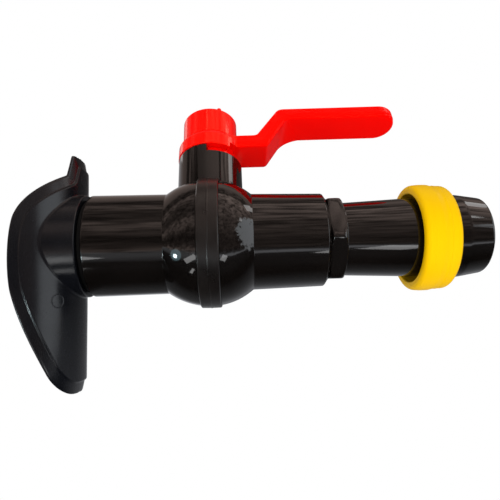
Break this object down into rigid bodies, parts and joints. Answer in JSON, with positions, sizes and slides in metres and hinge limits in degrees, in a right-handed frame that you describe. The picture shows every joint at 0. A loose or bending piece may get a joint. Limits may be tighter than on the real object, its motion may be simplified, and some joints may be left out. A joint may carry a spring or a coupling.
{
  "type": "saddle ball valve",
  "caption": "Quarter-turn plastic ball valve on a pipe saddle, with a cranked lever handle and a hexagonal hose tail that carries a loose locking ring.",
  "frame": {"origin": "where the axis of the main pipe that the saddle sits on crosses the valve's flow axis", "axes": "+X along the flow from the main pipe to the hose, +Z along the valve's stem towards the handle; the main pipe's axis lies in the YZ plane, turned 20.1 degrees about +X from the stem"},
  "size_m": [0.2207, 0.0747, 0.1477],
  "materials": {
    "gloss_black": "glossy moulded black polypropylene",
    "satin_black": "satin black weld band",
    "red": "semi-gloss moulded red plastic",
    "yellow": "satin moulded yellow plastic",
    "black_rubber": "matt black rubber",
    "white_plastic": "smooth white plastic",
    "steel": "stainless steel"
  },
  "bodies": {
    "valve_body": {"saddle_plate": "gloss_black", "saddle_seal": "black_rubber", "inlet_ring": "black_rubber", "body_inlet_half": "gloss_black", "body_outlet_half": "gloss_black", "weld_band": "satin_black", "seat_inlet": "white_plastic", "seat_ring_inlet": "black_rubber", "seat_outlet": "white_plastic", "seat_ring_outlet": "black_rubber", "stem_washer": "white_plastic", "hose_tail": "gloss_black", "tail_gasket": "black_rubber"},
    "handle_stem": {"handle": "red", "handle_cap": "red", "handle_screw": "steel", "screw_washer": "steel", "stem": "gloss_black", "stem_ring_lower": "black_rubber", "stem_ring_upper": "black_rubber"},
    "ball": {"ball": "white_plastic"},
    "lock_ring": {"lock_ring": "yellow"}
  },
  "joints": [
    {"name": "handle_turn", "type": "hinge", "parent": "valve_body", "child": "handle_stem", "pos_m": [0.0945, 0, 0], "axis": [0, 0, 1], "range_deg": [0, 90]},
    {"name": "ball_turn", "type": "hinge", "parent": "valve_body", "child": "ball", "pos_m": [0.0945, 0, 0], "axis": [0, 0, 1], "range_deg": [0, 90]},
    {"name": "ring_slide", "type": "slide", "parent": "valve_body", "child": "lock_ring", "axis": [1, 0, 0], "range_m": [-0.033, 0.017]}
  ],
  "couplings": [
    {"joint": "ball_turn", "follows": "handle_turn", "ratio": 1}
  ]
}
